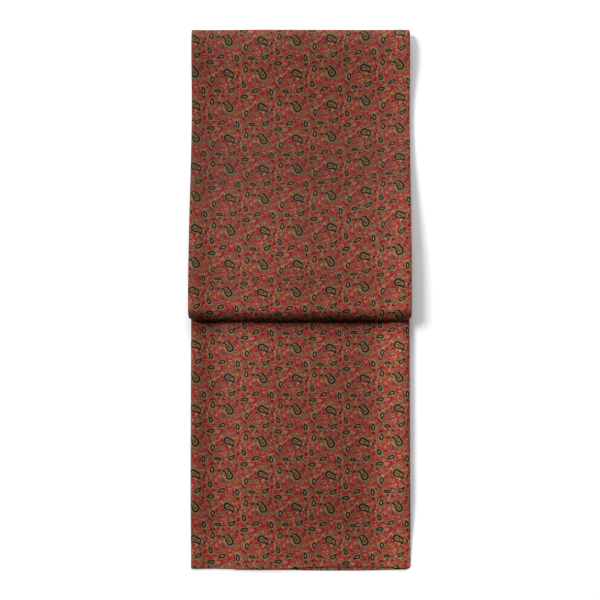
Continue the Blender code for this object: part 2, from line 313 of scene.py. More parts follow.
def doubled_ply(stations, print_at, under_inset, move=None, hem_first=False, flat_steps=FLAT_STEPS):
    """A panel folded along its length, as one closed thin shell with its print and bake maps."""
    rings, coords = [], []
    for r, station in enumerate(stations):
        places = places_across(station, under_inset, flat_steps)
        last = len(places) - 1
        if hem_first:
            run = sum(hypot(stations[k + 1].y - stations[k].y, stations[k + 1].z - stations[k].z)
                      for k in range(r)) if r < HEM_ROWS else HALF_LENGTH
            end_half = hem_half(run, station.height)
        else:
            end_half = 0.0
        ring, outer, inner = [], [], []
        for p in places:
            half = max(p.half, end_half)
            outer.append((p.x + p.nx * half, p.depth + p.nd * half, p.along))
            inner.append((p.x - p.nx * half, p.depth - p.nd * half, p.along))
        first_tip = (places[0].x - places[0].half, places[0].depth, 0.0)
        last_tip = (places[last].x - places[last].half, places[last].depth, places[last].along)
        for x, depth, along in [first_tip] + outer + [last_tip] + inner[::-1]:
            point = ply_point(station, x, depth)
            if move:
                point = move(point)
            ring.append((point, along))
        rings.append([point for point, _ in ring])
        coords.append([print_at(r, along) for _, along in ring])
    count = len(rings[0])
    verts = [point for ring in rings for point in ring]
    faces, uvs, bakes = [], [], []
    shares = bake_shares(rings[len(rings) // 2], flat_steps + FOLD_STEPS + len(EDGE_PLACES))
    down = bake_downs(rings)
    for r in range(len(rings) - 1):
        for k in range(count):
            after = (k + 1) % count
            faces.append((r * count + k, r * count + after,
                          (r + 1) * count + after, (r + 1) * count + k))
            uvs.append((coords[r][k], coords[r][after], coords[r + 1][after], coords[r + 1][k]))
            s0, s1 = shares[k], shares[k + 1]
            bakes.append(((s0, down[r]), (s1, down[r]), (s1, down[r + 1]), (s0, down[r + 1])))
    width = (count - 2) // 2
    for r, (low, high) in ((0, BAKE_FIRST_END), (len(rings) - 1, BAKE_LAST_END)):
        base = r * count
        strip = [(base + k, base + (count - k) % count) for k in range(0, width + 2)]
        for k in range(len(strip) - 1):
            (a, b), (c, d) = strip[k], strip[k + 1]
            quad = [a, b, d, c] if r == 0 else [a, c, d, b]
            spots = {a: (k, low), b: (k, high), c: (k + 1, low), d: (k + 1, high)}
            if a == b:
                spots[a] = (k, low)
            if c == d:
                spots[c] = (k + 1, low)
            unique = []
            for v in quad:
                if v not in unique:
                    unique.append(v)
            faces.append(tuple(unique))
            uvs.append(tuple(coords[r][v - base] for v in unique))
            bakes.append(tuple((spots[v][0] / (width + 1), spots[v][1]) for v in unique))
    return verts, faces, uvs, bakes


def bake_shares(ring, seen):
    """Where each place of a ring lies across the bake map; the first ones are seen and get more."""
    weights = []
    count = len(ring)
    for k in range(count):
        step = (ring[(k + 1) % count] - ring[k]).length
        weights.append(step * (1.0 if 0 < k < seen else BAKE_UNSEEN) + TINY)
    total = sum(weights)
    shares, run = [0.0], 0.0
    for weight in weights:
        run += weight / total
        shares.append(min(run, 1.0))
    return shares


def bake_downs(rings):
    """Where each ring lies down the bake map."""
    middle = len(rings[0]) // 4
    steps = [(rings[r + 1][middle] - rings[r][middle]).length + TINY for r in range(len(rings) - 1)]
    total = sum(steps)
    downs = [0.0]
    for step in steps:
        downs.append(downs[-1] + BAKE_BODY * step / total)
    return downs


def mesh_piece(name, across, along, *shells):
    """One object of one or more shells; each takes its own strip of the bake map."""
    verts, faces, uvs, bakes = [], [], [], []
    for i, (shell_verts, shell_faces, shell_uvs, shell_bakes) in enumerate(shells):
        faces += [tuple(v + len(verts) for v in face) for face in shell_faces]
        verts += shell_verts
        uvs += shell_uvs
        bakes += [[(s, (i + t) / len(shells)) for s, t in row] for row in shell_bakes]
    mesh = bpy.data.meshes.new(name)
    mesh.from_pydata(verts, [], faces)
    mesh.update()
    for layer_name, rows in (("print", uvs), ("OFBake", bakes)):
        layer = mesh.uv_layers.new(name=layer_name)
        loop = 0
        for row in rows:
            for uv in row:
                layer.data[loop].uv = uv
                loop += 1
    # Painted light and shade for each point, which the material multiplies into the cloth's colour
    painted_shading = mesh.attributes.new("painted_shading", "FLOAT", "POINT")
    for item, vert in zip(painted_shading.data, verts):
        item.value = painted_shading_at(across, along, vert)
    mesh.shade_smooth()
    piece = bpy.data.objects.new(name, mesh)
    bpy.context.scene.collection.objects.link(piece)
    return piece


def painted_shading_at(across, along, point):
    """Painted light and shade at a place: soft bands both ways, wavering a little, with a small random
    drift.
    """
    waver = PAINTED_SHADING_WAVER * noise.noise(Vector((point.x * 8, point.y * 16, 5.5)))
    drift = noise.noise(Vector((point.x * 30, point.y * 11, 9.1)))
    return value_at(across, point.x + waver, 1) * value_at(along, point.y, 1) * (1 + PAINTED_SHADING_DRIFT * drift)


def path_stations(rows, left_inset=0.0, right_inset=0.0, seed=0):
    """Stations of a path given as rows of y, z, height, lift, under_lift and pull."""
    result = []
    run = 0.0
    for i, ((y, z, height, lift, under, pull), (ny, nz)) in enumerate(zip(rows, facing(rows))):
        if i:
            run += hypot(y - rows[i - 1][0], z - rows[i - 1][1])
        stray = noise.noise(Vector((run * 25, seed, 0.5)))
        result.append(Station(y, z, ny, nz,
                              value_at(UPPER_REACH, y, 1) - left_inset * (1 + 0.6 * stray),
                              value_at(UPPER_REACH, y, 2) - right_inset * (1 - 0.5 * stray),
                              height, lift, under, pull, UPPER_SWELL))
    return result


def crown_at(y, column=1):
    return value_at(CROWN, HALF_LENGTH - y, column)


def rounded(turn, power):
    """A place on a quarter turn of a rounded corner; a power under 2 cuts it, one over 2 fills it."""
    angle = radians(turn)
    return abs(cos(angle)) ** (2 / power), abs(sin(angle)) ** (2 / power)


def steps_between(start, stop, step):
    count = max(1, round(abs(stop - start) / step))
    return [start + (stop - start) * k / count for k in range(count)]


# The upper run
# Where the top edge turns, as a share of its height, and how far its under half goes down from there
TOP_FALL_MIDDLE = 0.45
TOP_FALL_UNDER = 0.42
TOP_TAIL = 10.0 * MM
TOP_TAIL_LIFT = 0.2
UNDER_LIFT = 0.9
ROLL_PLY_HEIGHT = 1.3 * MM
ROLL_CREST_LOW = 12 * MM
UPPER_PLY_HEIGHT = [
    (-14 * MM, 1.3 * MM), (40 * MM, 1.5 * MM), (80 * MM, 1.1 * MM), (105 * MM, 0.62 * MM),
    (135 * MM, 0.55 * MM), (160 * MM, 0.9 * MM), (186 * MM, 1.2 * MM),
]


def upper_rows():
    rows = []
    first, last = CROWN[0], CROWN[-1]
    fall_y = HALF_LENGTH - TOP_FALL_REACH
    fold_low = TOP_FALL_MIDDLE * first.height
    fall_height = first.height - fold_low
    height = value_at(UPPER_PLY_HEIGHT, HALF_LENGTH, 1)
    for y in steps_between(fall_y - TOP_TAIL, fall_y, ROW_STEP):
        rows.append((y, fold_low - fall_height * TOP_FALL_UNDER, height, TOP_TAIL_LIFT,
                     TOP_TAIL_LIFT, 0.0))
    for turn in range(-90, 90, 6):
        out, up = rounded(turn, TOP_FALL_POWER)
        up *= fall_height if turn > 0 else -TOP_FALL_UNDER * fall_height
        rows.append((fall_y + TOP_FALL_REACH * out, fold_low + up, height,
                     first.lift * (0.6 + 0.4 * sin(radians(turn))), first.lift * 0.5, 0.0))
    crest_y = ROLL_FRONT + ROLL_REACH
    for y in steps_between(fall_y, crest_y, ROW_STEP):
        lift = crown_at(y, 2)
        rows.append((y, crown_at(y), value_at(UPPER_PLY_HEIGHT, y, 1), lift, lift * UNDER_LIFT, 0.0))
    belly = LOWER_HEIGHT + GAP + CURL_RADIUS
    for turn in range(90, 0, -5):
        out, up = rounded(turn, ROLL_POWER)
        rows.append((ROLL_FRONT + ROLL_REACH * (1 - out), belly + (last.height - belly) * up,
                     ROLL_PLY_HEIGHT, last.lift, last.lift * UNDER_LIFT, out))
    for turn in range(0, -90, -10):
        angle = radians(turn)
        rows.append((ROLL_FRONT + CURL_RADIUS * (1 - cos(angle)), belly + CURL_RADIUS * sin(angle),
                     ROLL_PLY_HEIGHT, last.lift, last.lift * UNDER_LIFT, 1.0))
    for y in steps_between(ROLL_FRONT + CURL_RADIUS, TAIL_END, ROW_STEP) + [TAIL_END]:
        pull = (TAIL_END - y) / (TAIL_END - ROLL_FRONT)
        rows.append((y, LOWER_HEIGHT + GAP, ROLL_PLY_HEIGHT, last.lift, last.lift * UNDER_LIFT, pull))
    return rows


# The inner plies
# Upper faces of the five doubled plies under the top one, as shares of the crown's height
Layers = namedtuple("Layers", "from_top first second third fourth fifth")
LAYERS = [
    Layers(0 * MM, 0.050, 0.095, 0.143, 0.208, 0.362),
    Layers(8 * MM, 0.050, 0.095, 0.143, 0.208, 0.362),
    Layers(20 * MM, 0.062, 0.119, 0.175, 0.244, 0.388),
    Layers(33 * MM, 0.100, 0.183, 0.275, 0.375, 0.533),
    Layers(48 * MM, 0.155, 0.310, 0.464, 0.620, 0.800),
    Layers(65 * MM, 0.160, 0.320, 0.480, 0.640, 0.800),
    Layers(131 * MM, 0.115, 0.330, 0.460, 0.590, 0.860),
    Layers(190 * MM, 0.115, 0.330, 0.460, 0.590, 0.860),
]
# The pleats' fold lines, the place of the inner roll, and the reaches of what turns there
OUTER_PLEAT_Y = 181.4 * MM
INNER_PLEAT_Y = 177.0 * MM
INNER_START = 5.0 * MM
INNER_ROLL = (-8.4 * MM, 8.7 * MM)
INNER_ROLL_RADIUS = 1.2 * MM
INNER_ROLL_HEIGHT = 1.1 * MM
INNER_PULL_REACH = 9.0 * MM
INNER_END = HALF_LENGTH - TOP_FALL_REACH - 11.0 * MM
OUTER_PLEAT_REACH = 1.3 * MM
INNER_ROLL_LIFT = 0.8
TURN_STEP = 20

# How high a doubled ply is, as a share of its layer, and at most
LAYER_FILL = 0.8
LAYER_LIMIT = 1.2 * MM


def layer_row(y, number, upward, pull=0.0):
    """A row of an inner doubled ply, on its upper or its lower face."""
    crown = crown_at(y)
    top = crown * value_at(LAYERS, HALF_LENGTH - y, number)
    below = crown * value_at(LAYERS, HALF_LENGTH - y, number - 1) if number > 1 else 0.0
    height = min(LAYER_FILL * (top - below), LAYER_LIMIT)
    lift = crown_at(y, 2) * value_at(LAYERS, HALF_LENGTH - y, number)
    return (y, top if upward else top - height, height, lift, lift, pull)


def turn_rows(middle, radius, start, stop, row, reach=None):
    """Rows of a fold between two layers; the turns are in degrees, 0 faces the top edge."""
    y, z = middle
    return [(y + (reach or radius) * cos(radians(turn)), z + radius * sin(radians(turn)), *row[2:])
            for turn in range(start, stop, TURN_STEP if stop > start else -TURN_STEP)]


def outer_pleat_rows():
    """The first layer, its fold under the top edge, the fourth, the inner roll, and the fifth."""
    rows = [layer_row(y, 1, False) for y in steps_between(INNER_START, OUTER_PLEAT_Y, INNER_ROW_STEP)]
    low, high = layer_row(OUTER_PLEAT_Y, 1, False), layer_row(OUTER_PLEAT_Y, 4, True)
    middle, radius = (OUTER_PLEAT_Y, (low[1] + high[1]) / 2), (high[1] - low[1]) / 2
    rows += turn_rows(middle, radius, -90, 90, low, OUTER_PLEAT_REACH)
    rows += [layer_row(y, 4, True, ease(-y / INNER_PULL_REACH))
             for y in steps_between(OUTER_PLEAT_Y, INNER_ROLL[0], INNER_ROW_STEP)]
    roll = (0, 0, INNER_ROLL_HEIGHT, INNER_ROLL_LIFT, INNER_ROLL_LIFT, 1.0)
    rows += turn_rows(INNER_ROLL, INNER_ROLL_RADIUS, 270, 90, roll)
    rows += [layer_row(y, 5, False, ease(-y / INNER_PULL_REACH))
             for y in steps_between(INNER_ROLL[0] + 1 * MM, INNER_END, INNER_ROW_STEP)]
    return rows


def inner_pleat_rows():
    """The third layer, its fold inside the outer pleat, and the second."""
    rows = [layer_row(y, 3, False) for y in steps_between(INNER_START, INNER_PLEAT_Y, INNER_ROW_STEP)]
    high, low = layer_row(INNER_PLEAT_Y, 3, False), layer_row(INNER_PLEAT_Y, 2, True)
    middle, radius = (INNER_PLEAT_Y, (low[1] + high[1]) / 2), (high[1] - low[1]) / 2
    rows += turn_rows(middle, radius, 90, -90, low)
    rows += [layer_row(y, 2, True) for y in steps_between(INNER_PLEAT_Y, INNER_START, INNER_ROW_STEP)]
    return rows


# The print; its numbers are in millimetres
PERIOD = 46.3
ROW = 22.2
PRINT_STRETCH = 1.003
UPPER_START = 49.8
LOWER_START = 49.2
UNDER_SHIFT = 23.0
END_DRIFT = 0.4
BOW_PLACE = 67.0
BOW_LIMIT = 90.0
BOW_POWER = 1.6

# Which row of the repeat lies at which place along the cloth
UPPER_ROWS = [
    (-127.6, -14), (-16.6, -9), (5.6, -8), (24.5, -7), (47.6, -6), (69.7, -5),
    (90.3, -4), (110.8, -3), (132.8, -2), (155.0, -1), (177.1, 0), (199.3, 1),
    (288.1, 5),
]
LOWER_ROWS = [
    (-209.0, -8), (-164.5, -6), (-141.6, -5), (-119.2, -4), (-96.7, -3), (-74.7, -2),
    (-53.1, -1), (-31.3, 0), (13.1, 2),
]
# How far the rows rise towards the right, at each place along
UPPER_BOW = [
    (-14, 5.0), (9, 6.4), (35, 10.4), (53, 11.0), (78, 9.2), (118, 7.6),
    (161, 6.2), (186, 6.0),
]
# How far the print moves sideways at each place along, on its left part and its right part
UPPER_DRIFT = [
    (6, 0.1, 0.0), (14, 0.6, 0.0), (24, 1.2, -0.2), (34, 1.55, -0.1), (48, 1.9, 0.3),
    (62, 1.6, 0.9), (72, 1.35, 1.0), (90, 0.8, 0.9), (111, 0.4, 1.0), (130, 0.0, 1.2),
    (150, 0.0, 0.8), (177, 0.0, 0.6),
]
# How far the rows move along the cloth at each place across: all of them, those at the roll, and on
# the lower run also those towards the open end
UPPER_WAVE = [
    (-76, 1.1, 0.2), (-66, 0.9, 0.3), (-56, 0.4, 0.5), (-46, 0.0, 0.6), (-36, -0.3, 0.5),
    (-25, -0.5, 0.4), (-15, -0.4, 0.2), (-5, -0.2, 0.2), (6, 0.1, 0.3), (26, 0.3, 0.2),
    (36, 0.5, 0.1), (47, 0.5, 0.2), (57, 0.2, 0.9), (67, -0.4, 1.4), (76, -0.6, 1.6),
]
LOWER_WAVE = [
    (-76, 0.3, 0.6, -1.6), (-66, 0.2, 0.6, -1.6), (-56, 0.0, 0.0, -1.6), (-46, 0.0, -0.6, -1.6),
    (-36, 0.0, -1.3, -1.0), (-25, 0.0, -1.5, -0.9), (-15, 0.0, -1.5, -0.9), (-5, 0.0, -1.8, -0.9),
    (6, -0.1, -1.9, -1.2), (16, -0.5, -1.2, -1.9), (26, -0.7, -0.8, -2.7), (36, -0.7, -0.4, -2.8),
    (47, -0.5, -0.4, -2.4), (57, 0.2, -0.5, -1.8), (67, 0.7, -0.3, -1.4), (76, 0.8, -0.2, -1.2),
]


def upper_print(stations):
    """Where a station and a distance along the cloth's width lie on the print, in metres."""
    flat = [station.y / MM for station in stations]
    crest = min(range(len(stations)), key=lambda r: abs(stations[r].y - ROLL_FRONT - ROLL_REACH)
                + (stations[r].z < ROLL_CREST_LOW))
    top = max(r for r in range(len(stations)) if stations[r].y > HALF_LENGTH - TOP_FALL_REACH - TINY)
    for r in range(crest + 1, len(stations)):
        a, b = stations[r - 1], stations[r]
        flat[r] = flat[r - 1] - hypot(b.y - a.y, b.z - a.z) / MM
    for r in range(top - 1, -1, -1):
        a, b = stations[r + 1], stations[r]
        flat[r] = flat[r + 1] + hypot(b.y - a.y, b.z - a.z) / MM

    def print_at(r, along):
        x = along / MM - stations[r].left / MM
        y = flat[r] * PRINT_STRETCH
        at_roll, on_right = ease((8 - y) / 12), ease((x + 15) / 45)
        bow = value_at(UPPER_BOW, y, 1) * (min(max(x, 0.0), BOW_LIMIT) / BOW_PLACE) ** BOW_POWER
        bow += value_at(UPPER_WAVE, x, 1) + value_at(UPPER_WAVE, x, 2) * at_roll
        left, right = value_at(UPPER_DRIFT, y, 1), value_at(UPPER_DRIFT, y, 2)
        u = x + UPPER_START - left - (right - left) * on_right
        v = ROW * value_at(UPPER_ROWS, y - bow, 1)
        return (u * MM, v * MM)

    return print_at


def lower_print(stations, shift=0.0):
    """The same for the lower run; the shift goes across."""
    def print_at(r, along):
        x = along / MM - stations[r].left / MM
        y = stations[r].y / MM * PRINT_STRETCH
        at_roll, at_end = ease((y + 60) / 40), min(max((-126 - y) / 48, 0.0), 1.3)
        wave = (value_at(LOWER_WAVE, x, 1) + value_at(LOWER_WAVE, x, 2) * at_roll
                + value_at(LOWER_WAVE, x, 3) * at_end)
        u = x + LOWER_START + shift + END_DRIFT * ease((-80 - y) / 20)
        return (u * MM, ROW * value_at(LOWER_ROWS, y - wave, 1) * MM)

    return print_at


def plain_print(stations):
    """The print of cloth that is out of sight, laid on along its path."""
    run = [0.0]
    for a, b in zip(stations, stations[1:]):
        run.append(run[-1] + hypot(b.y - a.y, b.z - a.z))
    return lambda r, along: (along, run[r])


# Every ink gives back this share of the colour that it is given below
DYE = 0.62


def srgb(red, green, blue):
    """A colour as shader nodes take it, from its usual 0 to 255 values."""
    def linear(value):
        value /= 255
        return DYE * (value / 12.92 if value <= 0.04045 else ((value + 0.055) / 1.055) ** 2.4)
    return (linear(red), linear(green), linear(blue), 1.0)


class Nodes:
    """Adds nodes to a tree and links them; every method returns the new node's output."""

    def __init__(self, tree):
        self.tree = tree

    def add(self, kind, **settings):
        node = self.tree.nodes.new(kind)
        for name, value in settings.items():
            setattr(node, name, value)
        return node

    def feed(self, socket, value):
        if isinstance(value, bpy.types.NodeSocket):
            self.tree.links.new(value, socket)
        else:
            socket.default_value = value

    def math(self, operation, *values, clamp=False):
        node = self.add("ShaderNodeMath", operation=operation, use_clamp=clamp)
        for socket, value in zip(node.inputs, values):
            self.feed(socket, value)
        return node.outputs[0]

    def vector(self, operation, *values, output=0):
        node = self.add("ShaderNodeVectorMath", operation=operation)
        for socket, value in zip(node.inputs, values):
            self.feed(socket, value)
        return node.outputs[output]

    def scaled(self, vector, scale):
        node = self.add("ShaderNodeVectorMath", operation="SCALE")
        self.feed(node.inputs["Vector"], vector)
        self.feed(node.inputs["Scale"], scale)
        return node.outputs[0]

    def parts(self, vector):
        node = self.add("ShaderNodeSeparateXYZ")
        self.feed(node.inputs[0], vector)
        return node.outputs

    def joined(self, x, y, z=0.0):
        node = self.add("ShaderNodeCombineXYZ")
        for socket, value in zip(node.inputs, (x, y, z)):
            self.feed(socket, value)
        return node.outputs[0]

    def between(self, value, low, high):
        """A smooth step: 0 at low, 1 at high, held outside them."""
        node = self.add("ShaderNodeMapRange", interpolation_type="SMOOTHSTEP")
        self.feed(node.inputs["Value"], value)
        node.inputs["From Min"].default_value = low
        node.inputs["From Max"].default_value = high
        return node.outputs["Result"]

    def band(self, value, middle, edge, full):
        """1 near a middle value, 0 from its edges on."""
        return self.between(self.math("ABSOLUTE", self.math("SUBTRACT", value, middle)), edge, full)

    def least(self, values):
        result = values[0]
        for value in values[1:]:
            result = self.math("MINIMUM", result, value)
        return result

    def mix(self, factor, first, second):
        node = self.add("ShaderNodeMix", data_type="RGBA")
        self.feed(node.inputs["Factor"], factor)
        colours = [s for s in node.inputs if s.type == "RGBA"]
        self.feed(colours[0], first)
        self.feed(colours[1], second)
        return next(s for s in node.outputs if s.type == "RGBA")

    def pick(self, value, stops):
        """The colour of the last stop that a value has passed."""
        node = self.add("ShaderNodeValToRGB")
        node.color_ramp.interpolation = "CONSTANT"
        elements = node.color_ramp.elements
        while len(elements) < len(stops):
            elements.new(0.5)
        for element, (place, _) in zip(elements, stops):
            element.position = place
        for element, (_, colour) in zip(elements, stops):
            element.color = colour
        self.feed(node.inputs[0], value)
        return node.outputs["Color"]

    def noise(self, vector, scale, detail, output="Fac"):
        node = self.add("ShaderNodeTexNoise", noise_dimensions="2D")
        self.feed(node.inputs["Vector"], vector)
        node.inputs["Scale"].default_value = scale
        node.inputs["Detail"].default_value = detail
        return node.outputs[output]

    def wander(self, vector, scale, detail, reach):
        """An uneven shift, of up to half the reach each way."""
        colour = self.noise(vector, scale, detail, "Color")
        return self.scaled(self.vector("SUBTRACT", colour, (0.5, 0.5, 0.5)), reach)

    def cells(self, vector, scale):
        """Distance to the middle of the cell a point is in, and the cell's own colour."""
        node = self.add("ShaderNodeTexVoronoi", voronoi_dimensions="2D")
        self.feed(node.inputs["Vector"], vector)
        node.inputs["Scale"].default_value = scale
        return node.outputs["Distance"], node.outputs["Color"]

    def group(self, tree, **values):
        node = self.add("ShaderNodeGroup", node_tree=tree)
        for name, value in values.items():
            self.feed(node.inputs[name], value)
        return node.outputs


def new_group(name, inputs, outputs):
    """An empty node group; returns the group, its inner inputs, and its inner output node."""
    tree = bpy.data.node_groups.new(name, "ShaderNodeTree")
    for label, kind in inputs:
        tree.interface.new_socket(label, in_out="INPUT", socket_type=kind)
    for label, kind in outputs:
        tree.interface.new_socket(label, in_out="OUTPUT", socket_type=kind)
    inner = tree.nodes.new("NodeGroupInput")
    outer = tree.nodes.new("NodeGroupOutput")
    return tree, inner.outputs, outer.inputs


# Brings a bulge to its full height two thirds of the way to the tip, and how late a body narrows
BULGE_SHAPE = 6.75
NARROWING = 2.4


def repeat_group():
    """Where a point lies from the nearest repeat of a centre, on the half-drop lattice."""
    tree, given, result = new_group("half_drop_repeat",
                                    [("Point", "NodeSocketVector"), ("Centre", "NodeSocketVector")],
                                    [("Local", "NodeSocketVector")])
    n = Nodes(tree)
    off = n.vector("SUBTRACT", given["Point"], given["Centre"])
    row = n.math("ROUND", n.math("DIVIDE", n.parts(off)[1], ROW))
    near = n.vector("SUBTRACT", off, n.scaled((PERIOD / 2, ROW, 0.0), row))
    x = n.math("WRAP", n.parts(near)[0], PERIOD / 2, -PERIOD / 2)
    n.feed(result["Local"], n.joined(x, n.parts(near)[1]))
    return tree


def teardrop_group(repeat):
    """Distance to a teardrop with a bent tail, below 0 inside it."""
    vectors, floats = ("Point", "Middle", "Heading"), ("Length", "Body", "Tip", "Bulge")
    tree, given, result = new_group(
        "bent_teardrop",
        [(label, "NodeSocketVector") for label in vectors]
        + [(label, "NodeSocketFloat") for label in floats],
        [("Distance", "NodeSocketFloat")])
    n = Nodes(tree)
    local = n.group(repeat, Point=given["Point"], Centre=given["Middle"])["Local"]
    along = n.vector("DOT_PRODUCT", local, given["Heading"], output=1)
    side = n.vector("CROSS_PRODUCT", (0.0, 0.0, 1.0), given["Heading"])
    across = n.vector("DOT_PRODUCT", local, side, output=1)
    share = n.math("ADD", n.math("DIVIDE", along, given["Length"]), 0.5, clamp=True)
    arc = n.math("MULTIPLY", n.math("MULTIPLY", share, share), n.math("SUBTRACT", 1.0, share))
    bent = n.math("SUBTRACT", across, n.math("MULTIPLY", n.math("MULTIPLY", arc, BULGE_SHAPE),
                                               given["Bulge"]))
    ends = n.math("MULTIPLY", n.math("SUBTRACT", share, 0.5), given["Length"])
    reach = n.vector("LENGTH", n.joined(n.math("SUBTRACT", along, ends), bent), output=1)
    narrowing = n.math("POWER", share, NARROWING)
    radius = n.math("ADD", given["Body"],
                    n.math("MULTIPLY", narrowing, n.math("SUBTRACT", given["Tip"], given["Body"])))
    n.feed(result["Distance"], n.math("SUBTRACT", reach, radius))
    return tree


# Teardrops of one repeat, in millimetres: body and tip centres, their radii, and the tail's bulge
Drop = namedtuple("Drop", "body tip body_radius tip_radius bulge kind")
DROPS = [
    Drop((1.35, -0.6), (-3.2, 2.6), 2.65, 0.65, -1.6, "large"),
    Drop((22.9, 0.9), (26.9, -2.9), 2.55, 0.6, 1.25, "large"),
    Drop((-10.6, 2.6), (-10.75, 5.7), 1.45, 0.3, -0.35, "tan"),
    Drop((13.1, -3.3), (12.9, -6.6), 1.4, 0.3, -0.35, "tan"),
    Drop((-11.6, -7.6), (-13.4, -5.1), 1.4, 0.3, -0.45, "green"),
    Drop((-21.3, -11.2), (-18.0, -8.7), 1.3, 0.35, -0.35, "tan"),
    Drop((-3.1, -10.4), (-6.3, -12.1), 1.35, 0.35, -0.45, "tan"),
    Drop((-10.6, -14.9), (-14.2, -15.4), 1.4, 0.4, -0.6, "green"),
    Drop((6.9, -12.5), (5.8, -9.3), 1.35, 0.3, -0.4, "tan"),
    Drop((15.6, -11.4), (18.6, -12.3), 1.2, 0.35, 0.5, "green"),
]

# Small round spots of the same repeat: place, radius and colour
Spot = namedtuple("Spot", "x y radius colour")
DARK_GREEN, LEAF, ORANGE, CREAM = "dark_green", "leaf", "orange", "cream"
SPOTS = [
    Spot(6.9, -15.9, 0.9, DARK_GREEN), Spot(-16.0, -1.5, 0.95, DARK_GREEN),
    Spot(-15.8, -8.3, 0.8, DARK_GREEN), Spot(-16.8, -15.7, 0.75, DARK_GREEN),
    Spot(11.0, -8.1, 0.7, DARK_GREEN), Spot(11.4, 0.1, 0.7, DARK_GREEN),
    Spot(19.9, -14.6, 0.7, DARK_GREEN), Spot(-9.8, -10.4, 0.55, DARK_GREEN),
    Spot(12.4, -11.5, 1.0, LEAF), Spot(16.5, -16.5, 0.9, LEAF),
    Spot(-10.0, -17.4, 0.9, LEAF), Spot(8.3, -3.0, 0.9, LEAF),
    Spot(13.9, -0.4, 0.75, ORANGE), Spot(-14.2, -3.6, 0.5, CREAM),
]

# Inks of the ground's flecks and of the large teardrops' cores, each from its share of the cells on
FLECK_INKS = [
    (0.0, srgb(117, 106, 68)), (0.24, srgb(148, 123, 87)), (0.42, srgb(94, 105, 67)),
    (0.56, srgb(46, 43, 34)), (0.63, srgb(172, 134, 88)), (0.68, srgb(116, 96, 62)),
    (0.84, srgb(134, 30, 36)),
]
SMALL_INKS = [
    (0.0, srgb(130, 104, 68)), (0.28, srgb(92, 98, 62)), (0.49, srgb(172, 132, 86)),
    (0.56, srgb(44, 36, 30)), (0.7, srgb(194, 43, 49)),
]
CORE_INKS = [
    (0.0, srgb(138, 104, 71)), (0.4, srgb(112, 88, 58)), (0.6, srgb(180, 120, 62)),
    (0.72, srgb(144, 110, 82)), (0.9, srgb(96, 85, 52)),
]
SPOT_INKS = {
    DARK_GREEN: srgb(44, 46, 28), LEAF: srgb(90, 98, 54), ORANGE: srgb(184, 118, 58),
    CREAM: srgb(160, 124, 92),
}
BRIGHT_RED, DEEP_RED = srgb(188, 45, 52), srgb(139, 36, 43)
CLOUD_INK, RIM_INK, HEART_INK = srgb(124, 98, 64), srgb(160, 116, 88), srgb(82, 68, 47)

# A dark outline's middle and half width, as distances from the teardrop's edge, and its ink
Outline = namedtuple("Outline", "core middle half ink")
NAVY = srgb(8, 10, 20)
OUTLINES = {
    "large": Outline(None, -0.45, 0.57, NAVY),
    "tan": Outline(srgb(168, 132, 104), -0.44, 0.52, NAVY),
    "green": Outline(srgb(124, 110, 76), -0.43, 0.48, srgb(15, 17, 20)),
}

# Cells or waves in a millimetre
WAVE_SCALE, RUFFLE_SCALE, RED_SCALE = 0.09, 0.57, 0.6
CLOUD_SCALE, CLUSTER_SCALE = 0.22, 0.45
FLECK_SCALE, SMALL_SCALE, CORE_SCALE = 0.57, 0.85, 0.9
# How far the ground's seams and its flecks' edges wander
WAVE_REACH, RUFFLE_REACH = 9.0, 2.2
# Shares of an ink in the cloth's colour
CLOUD_SHARE, RIM_SHARE, PRINT_SHARE = 0.22, 0.5, 0.96
# Size of the flecks and share of the small ones: on bare ground, and what cover adds
FLECK_LIMIT, SMALL_SHARE = (0.325, 0.30), (0.12, 0.68)


def drop_distances(n, point, repeat):
    """Distance to the nearest teardrop of each kind."""
    teardrop = teardrop_group(repeat)
    distances = {kind: [] for kind in OUTLINES}
    for drop in DROPS:
        body, tip = Vector((*drop.body, 0)), Vector((*drop.tip, 0))
        way = tip - body
        found = n.group(teardrop, Point=point, Middle=(body + tip) / 2, Heading=way.normalized(),
                        Length=way.length, Body=drop.body_radius, Tip=drop.tip_radius, Bulge=drop.bulge)
        distances[drop.kind].append(found["Distance"])
    return {kind: n.least(values) for kind, values in distances.items()}


